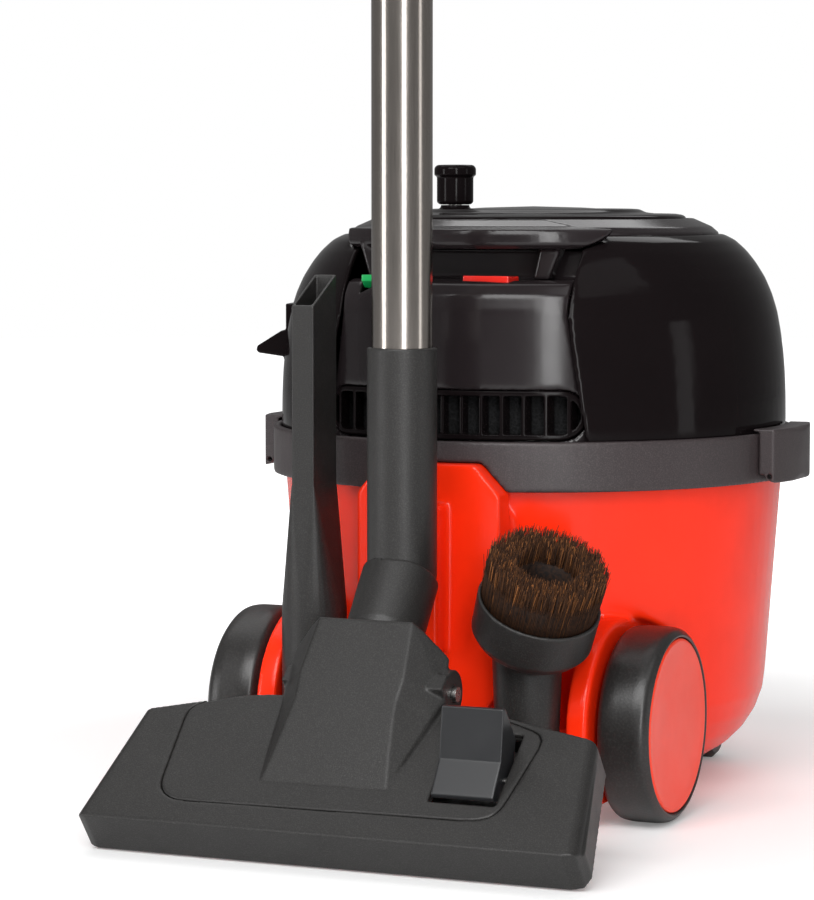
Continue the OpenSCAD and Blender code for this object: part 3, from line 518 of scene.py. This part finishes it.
def hump_sides(point):
    """Hollows the hump's flanks a little, so that they sweep out into the cover."""
    rise = point.z - TOOL_TOP
    outside = abs(point.x) - HUMP_HALF
    if rise <= 0.5 or outside < 0 or point.y > HUMP_FADE_STOP:
        return point
    hollow = HUMP_HOLLOW * math.sin(math.pi * min(1, rise / HUMP_RISE)) * min(1, outside / 8)
    hollow *= min(1, (HUMP_FADE_STOP - point.y) / (HUMP_FADE_STOP - HUMP_FADE_START))
    return Vector((point.x - math.copysign(hollow, point.x), point.y, point.z))


def add_floor_tool():
    moulded("tool_base", 0.9, 4, tool_place, round_ends)
    moulded("tool_cover", 0.7, 5, tool_place, hump_sides)
    moulded("tool_pedal", 0.45, 3, tool_place)
    strands = []
    for row in STRIP_ROWS:
        for i in range(STRIP_HAIRS):
            root = Vector((STRIP_START + i + random.uniform(-0.3, 0.3), row, STRIP_ROOT))
            tip = Vector((root.x + random.uniform(-0.4, 0.4), row + random.uniform(-0.4, 0.4),
                          STRIP_TIP + random.uniform(0, 1.2)))
            strands.append(([root, (root + tip) / 2, tip], random.random() ** 2))
    hairs("strip_hairs", strands, tool_place, "strip_hair", 0.35, "brush_strips")
    backing = bmesh.new()
    for y in (10, 60):
        lump = Matrix.Translation((6.95, y, 14.7)) @ Matrix.Diagonal((249.5, 4.4, 1.9, 1))
        bmesh.ops.create_cube(backing, size=1, matrix=lump)
    bmesh.ops.bevel(backing, geom=backing.edges[:], offset=0.4, segments=2, affect="EDGES")
    mesh = bpy.data.meshes.new("strip_backing")
    backing.to_mesh(mesh)
    backing.free()
    mesh.transform(tool_place)
    put_beside("strip_backing", mesh, "charcoal", "brush_strips")


def add_wand():
    moulded("wand_sleeve", 0.8, 3)
    moulded("neck_collar", 0.8, 4)


# the dusting brush: its head's tilt and turn, and its ring of hairs in mm along and about the head's axis
BRUSH_AT = (66, -178, 100)
BRUSH_TILT = math.radians(30)
BRUSH_TURN = math.radians(-46)
HAIR_COUNT = 5200
HAIR_ROOT = 26
HAIR_TIP = 61
HAIR_INNER = 17.8
HAIR_OUTER = 31
TIP_INNER = 17.2
TIP_SPREAD = 15.4
STRAY_SHARE = 0.06
TUFT_SIZE = 5
RIM_HAIRS = 260


def add_brush():
    moulded("brush_body", 0.8, 4)
    place = (Matrix.Translation(at(*BRUSH_AT)) @ Matrix.Rotation(BRUSH_TURN, 4, "Z")
             @ Matrix.Rotation(BRUSH_TILT, 4, "Y") @ Matrix.Scale(MM, 4))
    strands = []
    for i in range(HAIR_COUNT):
        radius = math.sqrt(random.uniform(HAIR_INNER ** 2, HAIR_OUTER ** 2))
        turn = random.uniform(0, 2 * math.pi)
        across = (radius - HAIR_INNER) / (HAIR_OUTER - HAIR_INNER)
        root = Vector((radius * math.cos(turn), radius * math.sin(turn), HAIR_ROOT))
        reach = TIP_INNER + across * TIP_SPREAD + random.gauss(0, 0.6)
        swing = turn + random.gauss(0, 0.045)
        height = HAIR_TIP - 0.5 + random.gauss(0, 1.2) - 1.5 * abs(across - 0.5)
        if random.random() < STRAY_SHARE:
            reach += random.uniform(-2, 3)
            swing += random.uniform(-0.16, 0.16)
            height += random.uniform(-3, 1.4)
        tip = Vector((reach * math.cos(swing), reach * math.sin(swing), height))
        tuft = noise_vector(root / TUFT_SIZE)
        tip += Vector((tuft.x * 1.5, tuft.y * 1.5, tuft.z))
        middle = (root + tip) / 2 + Vector((random.gauss(0, 0.5), random.gauss(0, 0.5), 0))
        luck = random.random()
        shade = random.uniform(0, 0.12)
        if luck > 0.72:
            shade = random.uniform(0.12, 0.4)
        if luck > 0.94:
            shade = random.uniform(0.6, 1.0)
        strands.append(([root, middle, tip], shade))
    for i in range(RIM_HAIRS):
        turn = 2 * math.pi * i / RIM_HAIRS
        base = Vector((31.2 * math.cos(turn), 31.2 * math.sin(turn), HAIR_ROOT))
        top = Vector((33.0 * math.cos(turn), 33.0 * math.sin(turn), HAIR_TIP - 10))
        strands.append(([base, (base + top) / 2, top], random.uniform(0, 0.1)))
    hairs("bristle_hairs", strands, place, "horsehair", 0.30, "brush_bristles")
    core = turned([(17.9, 25), (31, 25), (32, 47), (15.9, 47), (17.9, 25)], place, 96)
    put_beside("bristle_heart", core, "horsehair", "brush_bristles")


def add_drum():
    for node, voxel, rounds in (("drum_shell", 1.3, 10), ("rim_ring", 1.0, 3), ("inlet_ring", 0.8, 4),
                                ("latch_left", 0.6, 8), ("latch_right", 0.6, 8)):
        moulded(node, voxel, rounds)


def crumple(size, depth, seed):
    """A move for the points of a soft piece: lumps of about size mm, up to depth mm deep."""
    shift = Vector((seed, 2 * seed, 3 * seed))

    def move(point):
        return point + noise_vector(point / size + shift) * depth
    return move


def add_soft_pieces():
    bag = moulded("dust_bag", 3.0, 6, drum_place, crumple(34, 5, 3.1))
    seal = moulded("head_gasket", 0.8, 2, drum_place, crumple(9, 0.15, 5.3))
    pad = moulded("exhaust_filter", 1.6, 2, drum_place, crumple(8, 0.5, 7.7))
    felt = rounded([(0.0, 150.8), (69.4, 150.8), (82, 155.8), (115, 186.8), (117.9, 186.8), (84.2, 153.2),
                    (70, 148.2), (0.0, 148.2)], 6)
    mesh = turned(felt, drum_place, 120)
    move = crumple(16, 0.5, 9.9)
    turn_back = drum_place.inverted()
    for vertex in mesh.vertices:
        vertex.co = drum_place @ move(turn_back @ vertex.co)
    dish = put("filter_felt", mesh, "filter_cloth", "filter_cloth")


def add_head():
    for node, voxel, rounds in (("head_cover", 1.1, 34), ("rear_panel", 1.0, 12), ("exhaust_grille", 0.45, 3),
                                ("carry_handle", 0.9, 4), ("cable_outlet", 0.5, 4), ("power_rocker", 0.4, 3),
                                ("selector_rocker", 0.4, 3)):
        moulded(node, voxel, rounds)


def add_winder():
    middle = centre("winder_disc")
    foot = Matrix.Translation((middle.x, middle.y, 0)) @ Matrix.Scale(MM, 4)
    knob_middle = centre("crank_knob")
    knob_foot = Matrix.Translation((knob_middle.x, knob_middle.y, 0)) @ Matrix.Scale(MM, 4)
    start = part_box("crank_knob")[0].z / MM
    disc = rounded([(9, 335), (9, 327.8), (20, 327.8), (20, 334.3), (60, 333.6), (90.6, 331.8), (91, 335.4),
                    (89, 336.9), (84, 337.7), (80.5, 336.9), (67, 338.4), (63, 340.3), (57.5, 340.6),
                    (54.5, 339.7), (30, 341.2), (0, 342)], 1.4)
    boss = rounded([(4.2, 335), (11.4, 335), (11.2, 339), (8.8, 341.4), (8.8, start - 0.3),
                    (4.2, start - 0.3)], 1.6)
    put("winder_disc_shell", joined(turned(disc, foot), turned(boss, knob_foot, 64)), "gloss_black",
        "winder_disc")
    knob = rounded([(4.2, 0), (9.6, 0), (11.2, 1.4), (11.2, 16), (11.4, 17), (12.8, 18), (12.8, 22.4),
                    (11.2, 24.2), (7, 24.4), (0, 24.4)], 1.8)
    knob = [(radius, start + height) for radius, height in knob]
    put("crank_knob_shell", turned(knob, knob_foot, 64), "gloss_black", "crank_knob")


def add_wheel(side, sign):
    hub = centre("wheel_" + side)
    low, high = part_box("wheel_" + side)
    radius = (high.z - low.z) / 2 / MM
    width = (high.x - low.x) / MM
    outer = Vector((high.x if sign > 0 else low.x, hub.y, hub.z))
    place = facing(outer, (sign, 0, 0))
    tread = [(4.2, -width), (radius - 9, -width), (radius - 1.2, -width + 2.5), (radius, -width + 9),
             (radius, -8), (radius - 1, -3), (radius - 4.6, -0.2), (radius - 5.7, -0.7), (radius - 5.9, -3.6),
             (4.2, -3.9)]
    put("tyre_" + side, turned(rounded(tread, 3.5, 6), place), "wheel_black", "wheel_" + side)
    lip = radius - 6.3
    cap = [(0, -1.9), (lip * 0.6, -1.6), (lip - 6, -0.9), (lip - 1.4, -0.35), (lip, -1.0), (lip, -3.7)]
    put("cap_" + side, turned(rounded(cap, 5, 6), place), "cap_red", "hubcap_" + side)


# ---------- camera, light and floor ----------

# the camera: its turn about the drum's axis, its distance and height, its lens, and how far its line of
# sight drifts to the left and down for each metre forward
CAMERA_TURN = math.radians(21.2)
CAMERA_AWAY = 1.9776
CAMERA_HEIGHT = 351.2
CAMERA_LENS = 145.6
SENSOR_WIDTH = 36
DRIFT_LEFT = 0.03843
DRIFT_DOWN = 0.07879

# the soft boxes: name, bearing in degrees from the camera's side, distance and height above the floor,
# width and height of the box itself (all in metres), and power in watts
CAMERA_BEARING = math.radians(-68.8)
SOFT_BOXES = (
    ("front", 8, 2.6, 0.9, 0.42, 2.0, 30),
    ("left", -66, 2.3, 0.3, 0.40, 1.3, 12),
    ("right", 70, 2.3, 0.3, 0.36, 1.2, 3.0),
    ("key", -20, 1.9, 1.7, 1.6, 1.0, 37),
    ("right_high", 45, 1.5, 2.3, 1.5, 1.2, 6),
    ("behind", 170, 1.7, 2.0, 1.5, 0.8, 9),
)
ROOM_LIGHT = 0.22
FLOOR_RADIUS = 6

def aim(thing, target):
    thing.rotation_euler = (Vector(target) - thing.location).to_track_quat("-Z", "Y").to_euler()


def add_camera():
    forward = Vector((-math.sin(CAMERA_TURN), math.cos(CAMERA_TURN), 0))
    right = Vector((math.cos(CAMERA_TURN), math.sin(CAMERA_TURN), 0))
    look_along = forward - DRIFT_LEFT * right - DRIFT_DOWN * Vector((0, 0, 1))
    data = bpy.data.cameras.new("camera")
    data.sensor_fit = "HORIZONTAL"
    data.sensor_width = SENSOR_WIDTH
    data.lens = CAMERA_LENS
    data.clip_end = 50
    camera = bpy.data.objects.new("camera", data)
    scene.collection.objects.link(camera)
    camera.location = at(0, 0, CAMERA_HEIGHT) - CAMERA_AWAY * forward
    camera.rotation_euler = look_along.to_track_quat("-Z", "Y").to_euler()
    scene.camera = camera


def add_area(name, spot, target, width, height, power):
    data = bpy.data.lights.new(name, "AREA")
    data.shape = "RECTANGLE"
    data.size = width
    data.size_y = height
    data.energy = power
    light = bpy.data.objects.new(name, data)
    scene.collection.objects.link(light)
    light.location = spot
    aim(light, target)


def add_lights():
    """Soft boxes placed by their bearing from the camera's side, and one overhead."""
    middle = at(0, 0, 200)
    for name, turn, away, high, width, height, power in SOFT_BOXES:
        bearing = CAMERA_BEARING + math.radians(turn)
        spot = middle + Vector((away * math.cos(bearing), away * math.sin(bearing), high - middle.z))
        add_area(name, spot, middle, width, height, power)
    add_area("top", (-0.7, 0.4, 2.2), middle, 1.5, 1.8, 9)


def add_surroundings():
    """A white floor, and surroundings that look white to the camera but light the object softly."""
    world = bpy.data.worlds.new("studio")
    scene.world = world
    world.use_nodes = True
    tree = world.node_tree
    backdrop = tree.nodes["Background"]
    backdrop.inputs["Color"].default_value = (1, 1, 1, 1)
    backdrop.inputs["Strength"].default_value = ROOM_LIGHT
    seen = tree.nodes.new("ShaderNodeBackground")
    seen.inputs["Color"].default_value = (1, 1, 1, 1)
    seen.inputs["Strength"].default_value = 1.0
    mix = tree.nodes.new("ShaderNodeMixShader")
    path = tree.nodes.new("ShaderNodeLightPath")
    tree.links.new(path.outputs["Is Camera Ray"], mix.inputs["Fac"])
    tree.links.new(backdrop.outputs[0], mix.inputs[1])
    tree.links.new(seen.outputs[0], mix.inputs[2])
    tree.links.new(mix.outputs[0], tree.nodes["World Output"].inputs["Surface"])
    mesh = bpy.data.meshes.new("floor")
    disc = bmesh.new()
    bmesh.ops.create_circle(disc, cap_ends=True, segments=96, radius=FLOOR_RADIUS)
    disc.to_mesh(mesh)
    disc.free()
    look = Finish("floor_paint", 0.7, specular=0.2)
    look.colour(look.blend(look.noise(0.5), (0.90, 0.90, 0.90), (0.93, 0.93, 0.93)))
    far = look.add("ShaderNodeVectorMath", operation="LENGTH")
    look.link(look.coords, far.inputs[0])
    glow = look.add("ShaderNodeMath", operation="MULTIPLY")
    look.link(look.between(far.outputs["Value"], 0.16, 1.0, 0.35, 1.1), glow.inputs[0])
    look.link(look.add("ShaderNodeLightPath").outputs["Is Camera Ray"], glow.inputs[1])
    look.set("Emission Color", (1, 1, 1, 1))
    look.link(glow.outputs[0], look.shader.inputs["Emission Strength"])
    mesh.materials.append(look.mat)
    floor = bpy.data.objects.new("floor", mesh)
    scene.collection.objects.link(floor)


# ---------- the scene ----------

add_camera()
add_surroundings()
add_lights()
made = make_materials()
for name, node in nodes.items():
    node.data.materials.clear()
    node.data.materials.append(made[slots[name]])
    for polygon in node.data.polygons:
        polygon.use_smooth = True
    node.data.set_sharp_from_angle(angle=SHARP_ANGLE)
add_floor_tool()
add_wand()
moulded("crevice_tool", 0.6, 2)
add_brush()
add_drum()
add_soft_pieces()
add_head()
add_winder()
add_wheel("left", -1)
add_wheel("right", 1)

scene.view_settings.view_transform = "Standard"
